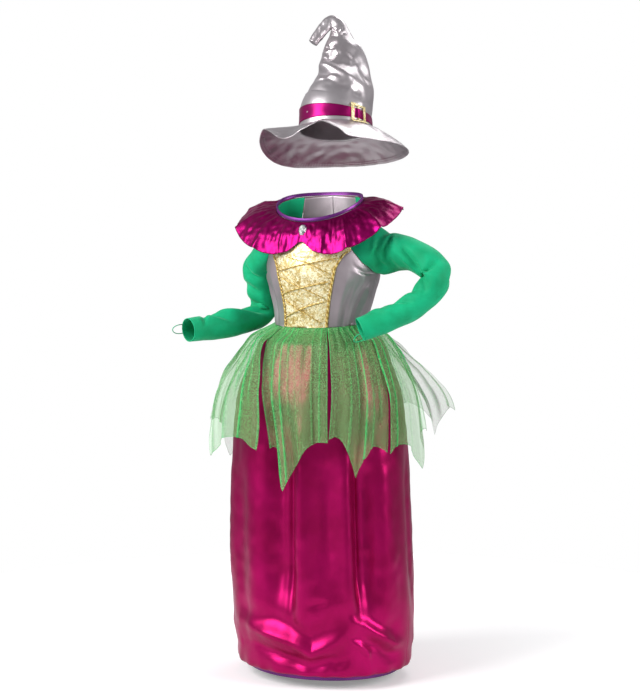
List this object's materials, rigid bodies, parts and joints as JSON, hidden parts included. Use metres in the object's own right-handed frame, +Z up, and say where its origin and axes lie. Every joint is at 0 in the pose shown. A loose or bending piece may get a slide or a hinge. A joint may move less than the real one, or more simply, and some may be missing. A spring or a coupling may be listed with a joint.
{
  "type": "child's witch costume dress with pointed hat",
  "caption": "Child's witch costume, worn form: raglan dress with laced front, winged collar, petal overskirt and long bubble-hem skirt, with a pointed buckled hat.",
  "frame": {"origin": "middle of the neck opening, level with where the wearer's shoulders carry the dress", "axes": "+Z up, the front of the dress faces -Y, the wearer's left is +X"},
  "size_m": [0.5988, 0.4853, 1.4331],
  "materials": {
    "magenta_satin": "satin sheen",
    "magenta_lame": "metallic sheen",
    "violet_satin": "satin sheen",
    "silver_satin": "satin sheen",
    "mauve_satin": "satin sheen",
    "green_velour": "soft brushed jersey",
    "green_organza": "sheer with fine glitter",
    "gold_lame": "glitter",
    "gold_trim": "metallic thread",
    "gold_glitter": "glitter",
    "crystal": "faceted, polished",
    "silver_metal": "polished"
  },
  "bodies": {
    "root": {"back_left": "mauve_satin", "back_right": "mauve_satin", "braid_left": "gold_trim", "braid_right": "gold_trim", "brooch_setting": "silver_metal", "brooch_stone": "crystal", "collar": "magenta_lame", "finger_loop_left": "green_velour", "finger_loop_right": "green_velour", "front_panel": "gold_lame", "hat_band": "magenta_lame", "hat_brim": "silver_satin", "hat_buckle": "gold_glitter", "hat_crown": "silver_satin", "hem_band": "violet_satin", "lace_1": "gold_trim", "lace_2": "gold_trim", "lace_3": "gold_trim", "lace_4": "gold_trim", "lace_5": "gold_trim", "lace_6": "gold_trim", "neck_binding": "violet_satin", "petal_1": "green_organza", "petal_2": "green_organza", "petal_3": "green_organza", "petal_4": "green_organza", "petal_5": "green_organza", "petal_6": "green_organza", "petal_7": "green_organza", "side_front_left": "mauve_satin", "side_front_right": "mauve_satin", "skirt_back": "magenta_satin", "skirt_front": "magenta_satin", "sleeve_left": "green_velour", "sleeve_right": "green_velour"}
  },
  "joints": []
}
